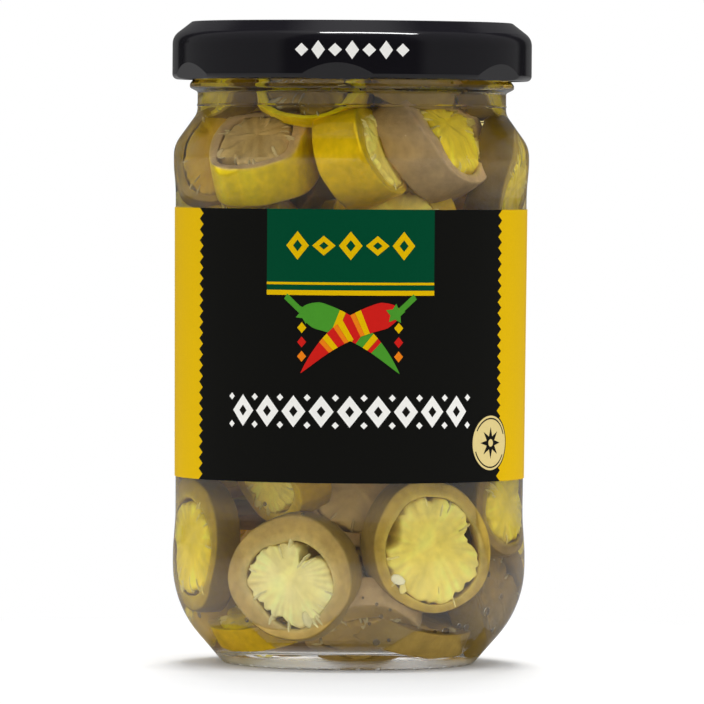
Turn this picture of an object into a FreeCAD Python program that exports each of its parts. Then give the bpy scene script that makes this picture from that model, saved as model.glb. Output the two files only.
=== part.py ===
"""A screw-lidded glass jar of sliced jalapenos in brine.

Four solids: the blown glass jar, the pressed twist-off lid, the paper label wrapped round the jar, and the
brine that the slices lie in, filled up to its level. Millimetres, +Z up, the front towards -Y. The origin is
the middle of the ring that the jar stands on.
"""
import FreeCAD, Part

import math
import os

from FreeCAD import Vector

# ---- Overall sizes of the jar -------------------------------------------------------------------------
rim_z = 118.2            # sealing surface of the glass
body_r = 32.88           # widest ring, under the shoulder
finish_r = 29.4          # plain glass wall that the lid goes over
foot_r = 23.2            # outer edge of the standing ring, before its corner is rounded
heel_in = 0.28           # the ring above the heel is this much smaller than the widest ring
panel_top_in = 0.38      # so are the upper and the lower end of the label panel
panel_low_in = 0.73

# ---- Heights one above the other, from the base -------------------------------------------------------
heel_h = 10.8
heel_ring_h = 10.2
low_step_h = 6.0         # from the heel ring in to the panel

# ---- Heights one below the other, from the rim --------------------------------------------------------
bead_below = 11.6        # to the middle of the ring bead that lies under the lid
neck_h = 5.0
shoulder_h = 6.05
shoulder_ring_h = 4.05
top_step_h = 3.5         # from the shoulder ring in to the panel

# ---- Glass --------------------------------------------------------------------------------------------
wall = 2.1               # body wall
neck_step = 0.85         # the neck is this much narrower than the finish
finish_wall = 3.0
floor_low_z = 3.8        # inside floor near the heel
floor_mid_z = 5.6        # inside floor over the push-up
push_up = 2.3            # rise of the underside
push_up_r = 15.0
standing_w = 3.6         # width of the standing ring
bead_out = 0.6           # how far the bead stands out from the finish
bead_h = 2.2
seam_out = 0.12          # mould seam ring on the neck
seam_h = 0.5
seam_share = 0.308       # where it lies, as a share of the plain neck

# ---- Rounding of the glass ----------------------------------------------------------------------------
heel_fillet = 20.0
foot_fillet = 1.6
ring_fillet = 34.0
shoulder_fillet = 5.6
neck_fillet = 3.0
rim_fillet = 1.0
inner_fillet = 6.0

# ---- Grip marks round the standing ring ---------------------------------------------------------------
mark_count = 40
mark_w = 0.8
mark_depth = 0.35
mark_len = 2.2           # from the outer corner inwards, short of the ring's inner edge

# ---- Thread starts on the finish and lugs in the lid --------------------------------------------------
lug_count = 6
first_lug = -4.6         # degrees from the front towards +X
thread_out = 1.6         # how far a thread start stands out
thread_h = 1.5
thread_turn = 38.0       # degrees that one start covers
thread_taper = 7.0       # degrees over which each of its ends runs out into the finish
lug_turn = 22.0
lug_h = 1.1
lug_gap = 0.6            # from a lug's tip to the plain finish

# ---- Lid ----------------------------------------------------------------------------------------------
lid_h = 10.75
sheet = 0.3              # lacquered sheet with its lining
thread_gap = 0.4         # between the thread starts and the curl
curl_w = 1.85
curl_h = 1.7
lid_slope_h = 2.85       # the slope between the top ring and the skirt
lid_slope_fillet = 2.7
lid_edge_fillet = 1.0    # lower edge of the skirt
top_ring_w = 4.2         # raised ring over the sealing surface
panel_drop = 1.1         # centre panel below the top ring
panel_ramp = 1.4
button_r = 9.0
button_dip = 0.5         # the safety button is drawn down by the vacuum
flat_h = 3.0             # height of the flat pressed into the skirt at each lug
flat_in = 0.95           # how far it goes in at the lower edge

# ---- Label --------------------------------------------------------------------------------------------
paper = 0.15
label_low_gap = 7.45     # from the lower end of the panel
label_top_gap = 3.85     # from its upper end
lap_w = 8.0              # the end that is glued over the start, at the back

# ---- Brine --------------------------------------------------------------------------------------------
headspace = 6.2          # from the rim down to the brine

BACK = 90.0              # degrees from +X towards +Y
Z_AXIS = Vector(0, 0, 1)
ORIGIN = Vector(0, 0, 0)

heel_r = body_r - heel_in
panel_top_r = body_r - panel_top_in
panel_low_r = body_r - panel_low_in
heel_ring_z = heel_h + heel_ring_h
panel_low_z = heel_ring_z + low_step_h
bead_z = rim_z - bead_below
neck_corner_z = bead_z - neck_h
shoulder_corner_z = neck_corner_z - shoulder_h
shoulder_ring_z = shoulder_corner_z - shoulder_ring_h
panel_top_z = shoulder_ring_z - top_step_h
neck_r = finish_r - neck_step
mouth_r = finish_r - finish_wall
thread_r = finish_r + thread_out
lid_top_z = rim_z + sheet
lid_low_z = lid_top_z - lid_h
curl_in_r = thread_r + thread_gap
lid_r = curl_in_r + curl_w
brine_z = rim_z - headspace


# ---- Profiles -----------------------------------------------------------------------------------------
def at(radius, height):
    return Vector(radius, 0, height)


def rounded_edges(corners):
    """Edges of an open outline through corners (radius, height, fillet), rounded at each inner corner.

    Two fillets that meet on a side share it, so that a short side makes both of them smaller.
    """
    points = [at(radius, height) for radius, height, _ in corners]
    turns, reaches = [0.0] * len(points), [0.0] * len(points)
    for i in range(1, len(points) - 1):
        turns[i] = math.pi - (points[i - 1] - points[i]).getAngle(points[i + 1] - points[i])
        reaches[i] = corners[i][2] * math.tan(turns[i] / 2)
    shares = [1.0] * len(points)
    for i in range(len(points) - 1):
        taken = reaches[i] + reaches[i + 1]
        room = 0.98 * (points[i + 1] - points[i]).Length
        if taken > room:
            shares[i] = min(shares[i], room / taken)
            shares[i + 1] = min(shares[i + 1], room / taken)
    edges, start = [], points[0]
    for i in range(1, len(points) - 1):
        corner, reach = points[i], reaches[i] * shares[i]
        if reach < 1e-4:
            edges.append(Part.LineSegment(start, corner).toShape())
            start = corner
            continue
        back = (points[i - 1] - corner).normalize()
        on = (points[i + 1] - corner).normalize()
        radius = reach / math.tan(turns[i] / 2)
        middle = corner + (back + on).normalize() * (radius / math.cos(turns[i] / 2) - radius)
        first, last = corner + back * reach, corner + on * reach
        edges.append(Part.LineSegment(start, first).toShape())
        edges.append(Part.Arc(first, middle, last).toShape())
        start = last
    edges.append(Part.LineSegment(start, points[-1]).toShape())
    return edges


def revolved(corners, degrees=360.0, start_at=0.0):
    """Solid of revolution about Z of the outline through corners, closed by a straight line."""
    edges = rounded_edges(corners)
    first, last = edges[0].Vertexes[0].Point, edges[-1].Vertexes[-1].Point
    if (first - last).Length > 1e-6:
        edges.append(Part.LineSegment(last, first).toShape())
    face = Part.Face(Part.Wire(edges))
    solid = face.revolve(ORIGIN, Z_AXIS, degrees)
    solid.rotate(ORIGIN, Z_AXIS, start_at)
    return solid


def ring_sector(inner, outer, low, high, degrees, middle_at):
    """Part of a ring of rectangular section, centred on the angle middle_at."""
    corners = [(inner, low, 0), (outer, low, 0), (outer, high, 0), (inner, high, 0)]
    return revolved(corners, degrees, middle_at - degrees / 2)


def panel_radius(height):
    """Outer radius of the glass at a height on the label panel."""
    share = (height - panel_low_z) / (panel_top_z - panel_low_z)
    return panel_low_r + share * (panel_top_r - panel_low_r)


def inside_height(low, high, radius):
    """Height at a radius on the line from low to high (radius, height) moved inwards by the wall."""
    across, up = high[0] - low[0], high[1] - low[1]
    length = math.hypot(across, up)
    start_r, start_z = low[0] - wall * up / length, low[1] + wall * across / length
    return start_z + (radius - start_r) * up / across


def shoulder_inside(radius):
    return inside_height((body_r, shoulder_corner_z), (neck_r, neck_corner_z), radius)


def heel_inside(radius):
    return inside_height((foot_r, 0), (heel_r, heel_h), radius)


def lug_angles():
    """Middles of the lugs."""
    return [first_lug - BACK + i * 360.0 / lug_count for i in range(lug_count)]


# ---- Jar ----------------------------------------------------------------------------------------------
def jar_outside():
    """Corners of the outer face, from the middle of the underside up to the rim."""
    seam_z = neck_corner_z + seam_share * (neck_h - bead_h / 2)
    bead_r = finish_r + bead_out
    return [
        (0, push_up, 0),
        (push_up_r, push_up * 0.8, 8.0),
        (foot_r - standing_w, 0, 0.8),
        (foot_r, 0, foot_fillet),
        (heel_r, heel_h, heel_fillet),
        (heel_r, heel_ring_z, ring_fillet),
        (panel_low_r, panel_low_z, ring_fillet),
        (panel_top_r, panel_top_z, ring_fillet),
        (body_r, shoulder_ring_z, ring_fillet),
        (body_r, shoulder_corner_z, shoulder_fillet),
        (neck_r, neck_corner_z, neck_fillet),
        (neck_r, seam_z, 0),
        (neck_r + seam_out, seam_z + seam_h / 2, 0),
        (neck_r, seam_z + seam_h, 0),
        (neck_r, bead_z - bead_h / 2, 0.5),
        (bead_r, bead_z - bead_h / 6, 0.5),
        (bead_r, bead_z + bead_h / 6, 0.5),
        (finish_r, bead_z + bead_h / 2, 0.4),
        (finish_r, rim_z, rim_fillet),
        (mouth_r, rim_z, rim_fillet),
    ]


def jar_inside():
    """Corners of the inner face, from the mouth down to the middle of the floor."""
    body_top_r, body_low_r, heel_in_r = panel_top_r - wall, panel_low_r - wall, heel_r - wall
    floor_r = foot_r - wall / 2
    return [
        (mouth_r, shoulder_inside(mouth_r), inner_fillet),
        (body_top_r, shoulder_inside(body_top_r), inner_fillet),
        (body_low_r, panel_low_z, ring_fillet),
        (heel_in_r, heel_ring_z, ring_fillet),
        (heel_in_r, heel_inside(heel_in_r), heel_fillet - wall),
        (floor_r, max(heel_inside(floor_r), floor_low_z), inner_fillet),
        (push_up_r, floor_mid_z - 0.4, 8.0),
        (0, floor_mid_z, 0),
    ]


def grip_marks():
    """Radial grooves cut in the standing ring, from its outer corner inwards."""
    groove = Part.makeBox(mark_len + foot_fillet, mark_w, 2 * mark_depth)
    groove.translate(Vector(foot_r - mark_len, -mark_w / 2, -mark_depth))
    grooves = []
    for i in range(mark_count):
        one = groove.copy()
        one.rotate(ORIGIN, Z_AXIS, (i + 0.5) * 360.0 / mark_count)
        grooves.append(one)
    return Part.makeCompound(grooves)


def thread_end(angle, side, low, high):
    """Block that trims one end of a thread start so that it runs out into the finish."""
    last = math.radians(angle + side * thread_turn / 2)
    first = last - side * math.radians(thread_taper)
    full = Vector(thread_r * math.cos(first), thread_r * math.sin(first), low)
    out = Vector(finish_r * math.cos(last), finish_r * math.sin(last), low)
    along = out - full
    block = Part.makeBox(2 * along.Length, thread_r, high - low)
    if side > 0:
        block.translate(Vector(0, -thread_r, 0))
    block.rotate(ORIGIN, Z_AXIS, math.degrees(math.atan2(along.y, along.x)))
    block.translate(full)
    return block


def thread_starts():
    """Short ridges round the finish that the lid's lugs turn under."""
    low, root_r, slope = lid_low_z + sheet + lug_h, finish_r - finish_wall / 4, thread_h / 3
    corners = [
        (root_r, low, 0),
        (thread_r, low, 0.3),
        (thread_r, low + thread_h - slope, 0.3),
        (root_r, low + thread_h + slope, 0),
    ]
    starts = []
    for angle in lug_angles():
        ends = [thread_end(angle, side, low - 1.0, low + thread_h + slope + 1.0) for side in (-1, 1)]
        starts.append(revolved(corners, thread_turn, angle - thread_turn / 2).cut(ends))
    return starts


def make_jar(inside):
    glass = revolved(jar_outside() + [(0, rim_z, 0)])
    glass = glass.fuse(thread_starts()).cut(inside).cut(grip_marks())
    return glass.removeSplitter()


def make_inside():
    """The jar's whole hollow, up to and a little past the rim."""
    above = 1.0
    return revolved([(0, rim_z + above, 0), (mouth_r, rim_z + above, 0)] + jar_inside())


# ---- Lid ----------------------------------------------------------------------------------------------
def lid_section(inset, low_corners):
    """Corners of the lid from its axis to its lower edge, moved in by inset from the outer face."""
    ring_out_r = finish_r + 0.2
    ring_in_r = ring_out_r - top_ring_w
    top = lid_top_z - inset
    panel = top - panel_drop
    return [
        (0, panel - button_dip, 0),
        (button_r * 0.7, panel - button_dip * 0.8, 12.0),
        (button_r, panel, 4.0),
        (ring_in_r - panel_ramp, panel, 1.0),
        (ring_in_r, top, 1.0),
        (ring_out_r - inset / 2, top, 0.8),
        (lid_r - inset, top - lid_slope_h + inset / 2, lid_slope_fillet - inset),
    ] + low_corners


def flats(inset):
    """Blocks that press a slanting flat into the skirt's lower edge at each lug."""
    depth, width = 6.0, 40.0
    slant = math.degrees(math.atan2(flat_in, flat_h))
    block = Part.makeBox(depth, width, 2 * flat_h)
    block.translate(Vector(0, -width / 2, -2 * flat_h))
    block.rotate(ORIGIN, Vector(0, 1, 0), slant)
    block.translate(at(lid_r - inset, lid_low_z + flat_h))
    blocks = []
    for angle in lug_angles():
        one = block.copy()
        one.rotate(ORIGIN, Z_AXIS, angle)
        blocks.append(one)
    return Part.makeCompound(blocks)


def make_lid():
    low, curl_top = lid_low_z, lid_low_z + curl_h
    outer = revolved(lid_section(0, [(lid_r, low, lid_edge_fillet), (0, low, 0)]))
    hollow_low = [
        (lid_r - sheet, curl_top, 0.4),
        (curl_in_r, curl_top - 0.5, 0.4),
        (curl_in_r, low - 1.0, 0),
        (0, low - 1.0, 0),
    ]
    hollow = revolved(lid_section(sheet, hollow_low))
    shell = outer.cut(flats(0)).cut(hollow.cut(flats(sheet)))
    lug_in_r = finish_r + lug_gap
    lugs = [
        ring_sector(lug_in_r, curl_in_r + 0.6, low + sheet, low + sheet + lug_h, lug_turn, angle)
        for angle in lug_angles()
    ]
    return shell.fuse(lugs).removeSplitter()


# ---- Label and brine ----------------------------------------------------------------------------------
def make_label():
    low, high = panel_low_z + label_low_gap, panel_top_z - label_top_gap
    low_r, high_r = panel_radius(low), panel_radius(high)

    def layer(first, last, degrees, start):
        corners = [
            (low_r + first, low, 0),
            (low_r + last, low, 0),
            (high_r + last, high, 0),
            (high_r + first, high, 0),
        ]
        return revolved(corners, degrees, start)

    lap_turn = math.degrees(lap_w / low_r)
    wrap = layer(0, paper, 360.0, BACK)
    lap = layer(paper / 2, 2 * paper, lap_turn, BACK - lap_turn / 2)
    return wrap.fuse(lap).removeSplitter()


def make_brine(inside):
    size = 4 * heel_r
    above = Part.makeBox(size, size, size, Vector(-size / 2, -size / 2, brine_z))
    return inside.cut(above)


def main():
    os.makedirs("parts", exist_ok=True)
    inside = make_inside()
    pieces = {
        "jar": make_jar(inside),
        "lid": make_lid(),
        "label": make_label(),
        "brine": make_brine(inside),
    }
    for name, shape in pieces.items():
        solids = shape.Solids
        if len(solids) != 1 or not shape.isValid():
            raise ValueError(f"{name} has {len(solids)} solids, valid {shape.isValid()}")
        solids[0].exportStep(f"parts/{name}.step")
        print(f"{name}: {solids[0].Volume / 1000:.2f} cm3")


main()
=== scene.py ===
"""Looks for the jar of sliced jalapenos: glass, brine, pepper slices, seeds, bubbles, label print and lid.

Metres, +Z up, the label's front towards -Y. Sizes are written in millimetres and scaled by MM; those in
materials, the world and lamps are in metres.
"""
import math
from math import acos, atan2, cos, dist, hypot, pi, radians, sin, sqrt

import bmesh
import bpy
import numpy as np
from mathutils import Matrix, Vector


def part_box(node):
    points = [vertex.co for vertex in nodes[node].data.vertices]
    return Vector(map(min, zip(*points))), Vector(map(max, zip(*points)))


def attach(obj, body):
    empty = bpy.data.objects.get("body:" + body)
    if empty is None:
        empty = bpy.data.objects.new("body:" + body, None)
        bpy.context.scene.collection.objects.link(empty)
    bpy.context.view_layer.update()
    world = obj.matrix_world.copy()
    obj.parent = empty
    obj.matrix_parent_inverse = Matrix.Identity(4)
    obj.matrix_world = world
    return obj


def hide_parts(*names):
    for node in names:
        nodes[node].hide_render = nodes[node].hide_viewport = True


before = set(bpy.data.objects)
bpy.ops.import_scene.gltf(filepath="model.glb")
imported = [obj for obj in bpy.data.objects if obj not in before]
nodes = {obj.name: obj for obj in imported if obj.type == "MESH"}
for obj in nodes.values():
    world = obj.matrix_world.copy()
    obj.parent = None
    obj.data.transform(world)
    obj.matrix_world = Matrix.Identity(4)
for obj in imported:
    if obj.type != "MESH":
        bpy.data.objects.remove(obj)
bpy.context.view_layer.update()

MM = 0.001
SEED = 11
TAU = 2 * pi
UP = np.array((0.0, 0.0, 1.0))

# ---- The frame ----
NEAR = 0.01  # lengths this close count as the same
SAME_ANGLE = 2e-4  # points of an outline this close in angle count once
BRINE_LOW, BRINE_HIGH = (np.array(corner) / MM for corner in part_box("brine"))
LABEL_LOW, LABEL_HIGH = (np.array(corner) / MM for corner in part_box("label"))
_, LID_HIGH = (np.array(corner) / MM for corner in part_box("lid"))
LID_R = LID_HIGH[0]
LABEL_H = LABEL_HIGH[2] - LABEL_LOW[2]


def node_points(name):
    """Vertices of a CAD node as radius, height and y, in millimetres."""
    mesh = nodes[name].data
    points = np.empty(len(mesh.vertices) * 3)
    mesh.vertices.foreach_get("co", points)
    points = points.reshape(-1, 3) / MM
    return np.hypot(points[:, 0], points[:, 1]), points[:, 2], points[:, 1]


def turned_outline(name, middle_z):
    """Outline of a turned node from its lowest to its highest point, in order round a point on the axis."""
    radius, height, _ = node_points(name)
    angle = np.round(np.arctan2(height - middle_z, radius), 5)
    order = np.argsort(angle)
    angle, radius, height = angle[order], radius[order], height[order]
    keep = np.concatenate(([True], np.diff(angle) > SAME_ANGLE))
    radius, height = radius[keep], height[keep]
    ends = [(0.0, height[0])] if radius[0] > NEAR else []
    tops = [(0.0, height[-1])] if radius[-1] > NEAR else []
    return np.array(ends + list(zip(radius, height)) + tops)


def label_radius(height):
    """Outer radius of the label at a height, from its front half."""
    radius, z, y = node_points("label")
    front = y < 0
    low = radius[front & (z < LABEL_LOW[2] + NEAR)].max()
    high = radius[front & (z > LABEL_HIGH[2] - NEAR)].max()
    return low + (high - low) * (height - LABEL_LOW[2]) / LABEL_H


# ---- Small tools ----
def linked(name, data):
    """New object of the scene for a mesh, a lamp or a camera."""
    made = bpy.data.objects.new(name, data)
    bpy.context.scene.collection.objects.link(made)
    return made


def new_object(name, points, faces, smooth=True):
    """Object from points in millimetres and a list of faces."""
    mesh = bpy.data.meshes.new(name)
    mesh.from_pydata([tuple(p) for p in np.asarray(points) * MM], [], [tuple(map(int, f)) for f in faces])
    mesh.validate()
    mesh.polygons.foreach_set("use_smooth", [smooth] * len(mesh.polygons))
    return linked(name, mesh)


def give_colours(made, colours):
    """Stores a colour for each vertex, as linear RGB."""
    layer = made.data.color_attributes.new("tint", "FLOAT_COLOR", "POINT")
    rgba = np.concatenate((colours, np.ones((len(colours), 1))), axis=1)
    layer.data.foreach_set("color", rgba.astype(np.float32).ravel())


def grid_faces(rows, columns, start=0, close_rows=False, flip=False):
    """Quads of a grid whose columns close into a ring."""
    faces = []
    last_row = rows if close_rows else rows - 1
    for i in range(last_row):
        for j in range(columns):
            a, b = start + i * columns + j, start + i * columns + (j + 1) % columns
            d, c = start + (i + 1) % rows * columns + j, start + (i + 1) % rows * columns + (j + 1) % columns
            faces.append((a, d, c, b) if flip else (a, b, c, d))
    return faces


def closed_faces(rows, columns, start=0):
    """Faces of a grid of rings and of its two poles, the two points after it."""
    faces = grid_faces(rows, columns, start)
    pole, last = start + rows * columns, start + (rows - 1) * columns
    for j in range(columns):
        after = (j + 1) % columns
        faces.append((pole, start + after, start + j))
        faces.append((pole + 1, last + j, last + after))
    return faces


def turns_round(count):
    """Evenly spaced angles."""
    return np.linspace(0, TAU, count, endpoint=False)


def latitudes(rows):
    """Latitudes of a ball's rings."""
    return np.linspace(-pi / 2, pi / 2, rows + 2)[1:-1]


def lathe(name, outline, segments):
    """Closed surface of revolution of an outline that starts and ends on the axis."""
    turns = turns_round(segments)
    inner = outline[1:-1]
    rings = [np.column_stack((r * np.cos(turns), r * np.sin(turns), np.full(segments, z))) for r, z in inner]
    points = np.concatenate(rings + [[[0, 0, outline[0][1]], [0, 0, outline[-1][1]]]])
    return new_object(name, points, closed_faces(len(inner), segments))


def srgb(*rgb):
    """Linear colour of an sRGB colour given as 0 to 255."""
    return tuple(c / 12.92 if c <= 0.04045 else ((c + 0.055) / 1.055) ** 2.4 for c in (v / 255 for v in rgb))


# ---- Nodes ----
def feed(tree, value, socket):
    """Links an output to a socket, or writes a number or a colour into it."""
    if isinstance(value, bpy.types.NodeSocket):
        tree.links.new(value, socket)
    elif isinstance(value, tuple):
        socket.default_value = (*value, 1)
    else:
        socket.default_value = value


def material(name, colour, roughness, **sockets):
    """Principled material, its tree and shader; sockets are named with _ for a space."""
    made = bpy.data.materials.new(name)
    made.use_nodes = True
    shader = made.node_tree.nodes["Principled BSDF"]
    shader.inputs["Base Color"].default_value = (*colour, 1)
    shader.inputs["Roughness"].default_value = roughness
    for socket, value in sockets.items():
        shader.inputs[socket.replace("_", " ")].default_value = value
    return made, made.node_tree, shader


def axes(tree, coordinates="Object"):
    """The x, y and z of a point in object space or, as Generated, of a direction."""
    place = tree.nodes.new("ShaderNodeTexCoord")
    split = tree.nodes.new("ShaderNodeSeparateXYZ")
    tree.links.new(place.outputs[coordinates], split.inputs[0])
    return split.outputs


def noise(tree, scale, detail):
    """Noise in object space; its scale is in waves for each metre."""
    place = tree.nodes.new("ShaderNodeTexCoord")
    made = tree.nodes.new("ShaderNodeTexNoise")
    made.inputs["Scale"].default_value = scale
    made.inputs["Detail"].default_value = detail
    tree.links.new(place.outputs["Object"], made.inputs["Vector"])
    return made.outputs["Fac"]


def add_relief(tree, shader, scale, detail, depth, strength):
    """Bumps a shader by a noise, and gives that noise."""
    height = noise(tree, scale, detail)
    bump = tree.nodes.new("ShaderNodeBump")
    bump.inputs["Distance"].default_value = depth
    bump.inputs["Strength"].default_value = strength
    tree.links.new(height, bump.inputs["Height"])
    tree.links.new(bump.outputs["Normal"], shader.inputs["Normal"])
    return height


def mix(tree, factor, first, second):
    """Mix of two colours or colour outputs by a factor."""
    node = tree.nodes.new("ShaderNodeMix")
    node.data_type = "RGBA"
    tree.links.new(factor, node.inputs["Factor"])
    for name, value in (("A", first), ("B", second)):
        feed(tree, value, [s for s in node.inputs if s.name == name and s.type == "RGBA"][0])
    return [s for s in node.outputs if s.type == "RGBA"][0]


def remap(tree, source, low, high, to_low=0.0, to_high=1.0):
    """A value of one range, carried to another range."""
    spread = tree.nodes.new("ShaderNodeMapRange")
    for name, value in (("From Min", low), ("From Max", high), ("To Min", to_low), ("To Max", to_high)):
        spread.inputs[name].default_value = value
    tree.links.new(source, spread.inputs["Value"])
    return spread.outputs["Result"]


def curve(tree, source, stops, low, high):
    """Colour ramp of grey values over the range low to high."""
    ramp = tree.nodes.new("ShaderNodeValToRGB")
    places = ramp.color_ramp.elements
    while len(places) < len(stops):
        places.new(0.5)
    for place, (at, value) in zip(places, stops):
        place.position = (at - low) / (high - low)
        place.color = (value, value, value, 1)
    tree.links.new(remap(tree, source, low, high), ramp.inputs["Fac"])
    return ramp.outputs["Color"]


def maths(tree, operation, first, second=0.0):
    """Maths on two outputs or numbers."""
    node = tree.nodes.new("ShaderNodeMath")
    node.operation = operation
    feed(tree, first, node.inputs[0])
    feed(tree, second, node.inputs[1])
    return node.outputs[0]


def scaled(tree, colour, factor):
    """A colour output times a number or an output."""
    node = tree.nodes.new("ShaderNodeVectorMath")
    node.operation = "SCALE"
    feed(tree, factor, node.inputs["Scale"])
    tree.links.new(colour, node.inputs[0])
    return node.outputs[0]


# ---- Materials ----
FROST = 0.4  # roughness of the glass at the pressed edge that it stands on
FROST_FADE = [(0.0014, 1.0), (0.0024, 0.0)]  # its share by height


def glass_material():
    """Clear glass, a little wavy, frosted at its foot."""
    made, tree, shader = material("clear_glass", (0.996, 0.999, 0.997), 0.0, IOR=1.5, Transmission_Weight=1.0)
    foot = curve(tree, axes(tree)["Z"], FROST_FADE, 0, 0.1)
    tree.links.new(maths(tree, "MULTIPLY", foot, FROST), shader.inputs["Roughness"])
    add_relief(tree, shader, 90, 1.0, 0.00012, 0.5)
    return made


def brine_material():
    """Clear brine that is yellow in depth."""
    made, tree, shader = material("brine", (1, 1, 1), 0.0, IOR=1.34, Transmission_Weight=1.0)
    shader.inputs["Specular Tint"].default_value = (0.0, 0.0, 0.0, 1)
    volume = tree.nodes.new("ShaderNodeVolumeAbsorption")
    volume.inputs["Color"].default_value = (0.93, 0.80, 0.15, 1)
    volume.inputs["Density"].default_value = 32.0
    tree.links.new(volume.outputs["Volume"], tree.nodes["Material Output"].inputs["Volume"])
    return made


def pepper_material(name, roughness, mottle, subsurface):
    """Wet pepper, coloured by its vertices, with a fine mottle."""
    made, tree, shader = material(name, (0.5, 0.4, 0.1), roughness, Subsurface_Weight=subsurface,
                                  Subsurface_Scale=0.0015, Specular_IOR_Level=0.05)
    shader.inputs["Subsurface Radius"].default_value = (1.0, 0.8, 0.3)
    tint = tree.nodes.new("ShaderNodeVertexColor")
    tint.layer_name = "tint"
    shade = remap(tree, noise(tree, 700, 3.0), 0.3, 0.7, 1.0 - mottle, 1.0)
    tree.links.new(scaled(tree, tint.outputs["Color"], shade), shader.inputs["Base Color"])
    add_relief(tree, shader, 1500, 2.0, 0.00015, 0.5)
    return made


def lacquer_material():
    """Glossy black lacquer with a faint orange peel."""
    made, tree, shader = material("black_lacquer", (0.006, 0.0055, 0.0075), 0.06, Specular_IOR_Level=0.9)
    add_relief(tree, shader, 1400, 2.0, 0.00001, 0.4)
    return made


def print_material(name, colour, roughness=0.42):
    """Printed ink, nearly even, with a faint fibre and a soft gloss."""
    made, tree, shader = material(name, colour, roughness, Specular_IOR_Level=0.04)
    fibre = add_relief(tree, shader, 2600, 4.0, 0.00002, 0.3)
    paler = tuple(min(1.0, c * 1.07) for c in colour)
    darker = tuple(c * 0.94 for c in colour)
    tree.links.new(mix(tree, fibre, darker, paler), shader.inputs["Base Color"])
    return made


# ---- Print on the label and the lid ----
INK = 0.02  # thickness of a printed field
INK_RISE = INK * 0.9  # from each level of ink to the next
GLUE_FACE = 0.08  # the paper is white from this far below its outer face
INKS = {"yellow": srgb(226, 183, 0), "green": srgb(0, 72, 45), "white": srgb(244, 243, 238),
        "red": srgb(206, 32, 26), "orange": srgb(236, 128, 22), "gold": srgb(226, 206, 140),
        "leaf": srgb(74, 150, 44), "black": srgb(24, 22, 20)}
BAND_TURN = 56.0  # the yellow bands start this far from the front, in degrees
BAND_TEETH = 25
TOOTH = 1.25  # depth of the zigzag edge
BAND_GAP = 0.3  # the bands end this far from the middle of the back
# Green plaque at the upper edge, with two rules and a row of lozenges, by turns large and small
PLAQUE_W, PLAQUE_H = 31.6, 15.6
RULES = [(0.0, 0.9), (1.9, 2.35)]
PLAQUE_ROW, PLAQUE_PITCH = 6.6, 4.9
PLAQUE_LOZENGES = [((4.3, 5.2), (1.7, 2.1)), ((4.3, 3.6), (1.7, 1.4))]
# Two crossed pods: colour, colour of the thin stripes, lean in degrees, bend and level of ink
PODS = [("leaf", "red", -32, 0.10, 1), ("red", "orange", 180 + 32, -0.10, 3)]
POD_LENGTH, POD_THICK = 21.5, 5.0
STRIPES = (0.30, 0.46, 0.62)  # starts of the stripes, as shares of the pod
STALK, STALK_RISE, STALK_HALF = 3.4, 0.8, 0.55
FIGURE_PITCH = 5.2  # of the row of bold white figures


def wrap(outlines, radius_at, lift, name, look):
    """Closed sheets of ink from flat outlines (distance along the label, height), bent each millimetre."""
    shape = bmesh.new()
    for points in outlines:
        shape.faces.new([shape.verts.new((u, v, 0)) for u, v in points])
    shape.normal_update()
    bmesh.ops.triangulate(shape, faces=shape.faces[:])
    left = min(v.co.x for v in shape.verts)
    right = max(v.co.x for v in shape.verts)
    for i in range(math.floor(left) + 1, math.ceil(right)):
        bmesh.ops.bisect_plane(shape, geom=shape.verts[:] + shape.edges[:] + shape.faces[:],
                               plane_co=(i, 0, 0), plane_no=(1, 0, 0), dist=1e-5)
    shape.normal_update()
    for face in shape.faces:
        if face.normal.z < 0:
            face.normal_flip()
    bmesh.ops.solidify(shape, geom=shape.faces[:], thickness=INK)
    front = max(v.co.z for v in shape.verts)
    for v in shape.verts:
        u, height, depth = v.co
        radius = radius_at(height)
        turn = u / radius
        out = radius + lift + depth - front
        v.co = Vector((out * sin(turn), -out * cos(turn), height)) * MM
    mesh = bpy.data.meshes.new(name)
    shape.to_mesh(mesh)
    shape.free()
    made = linked(name, mesh)
    made.data.materials.append(look)
    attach(made, "root")


def box_outline(left, low, right, high):
    """Rectangle, counted from its lower left corner."""
    return [(left, low), (right, low), (right, high), (left, high)]


def star_outline(u, v, outer, inner, points, turn=0.0):
    """Star or, with inner equal to outer, a regular polygon with twice the points."""
    made = []
    for i in range(2 * points):
        radius = outer if i % 2 == 0 else inner
        angle = turn + pi / 2 + i * pi / points
        made.append((u + radius * cos(angle), v + radius * sin(angle)))
    return made


def lozenge(u, v, width, height):
    """Lozenge round a point."""
    return [(u - width / 2, v), (u, v - height / 2), (u + width / 2, v), (u, v + height / 2)]


def ring_outlines(u, v, inner, outer, start=0.0, end=360.0):
    """Quads of a ring or of an arc of one."""
    steps = max(6, int((end - start) / 7.5))
    made = []
    for i in range(steps):
        a, b = (radians(start + (end - start) * k / steps) for k in (i, i + 1))
        made.append([(u + r * cos(t), v + r * sin(t)) for r, t in
                     ((inner, a), (outer, a), (outer, b), (inner, b))])
    return made


def band_outline(side, low, high, start, end):
    """Yellow band on one side, its front edge cut in teeth."""
    pitch = (high - low) / BAND_TEETH
    edge = []
    for i in range(BAND_TEETH):
        edge += [(side * (start + TOOTH), low + i * pitch), (side * start, low + (i + 0.5) * pitch)]
    edge.append((side * (start + TOOTH), high))
    return edge + [(side * end, high), (side * end, low)]


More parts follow.
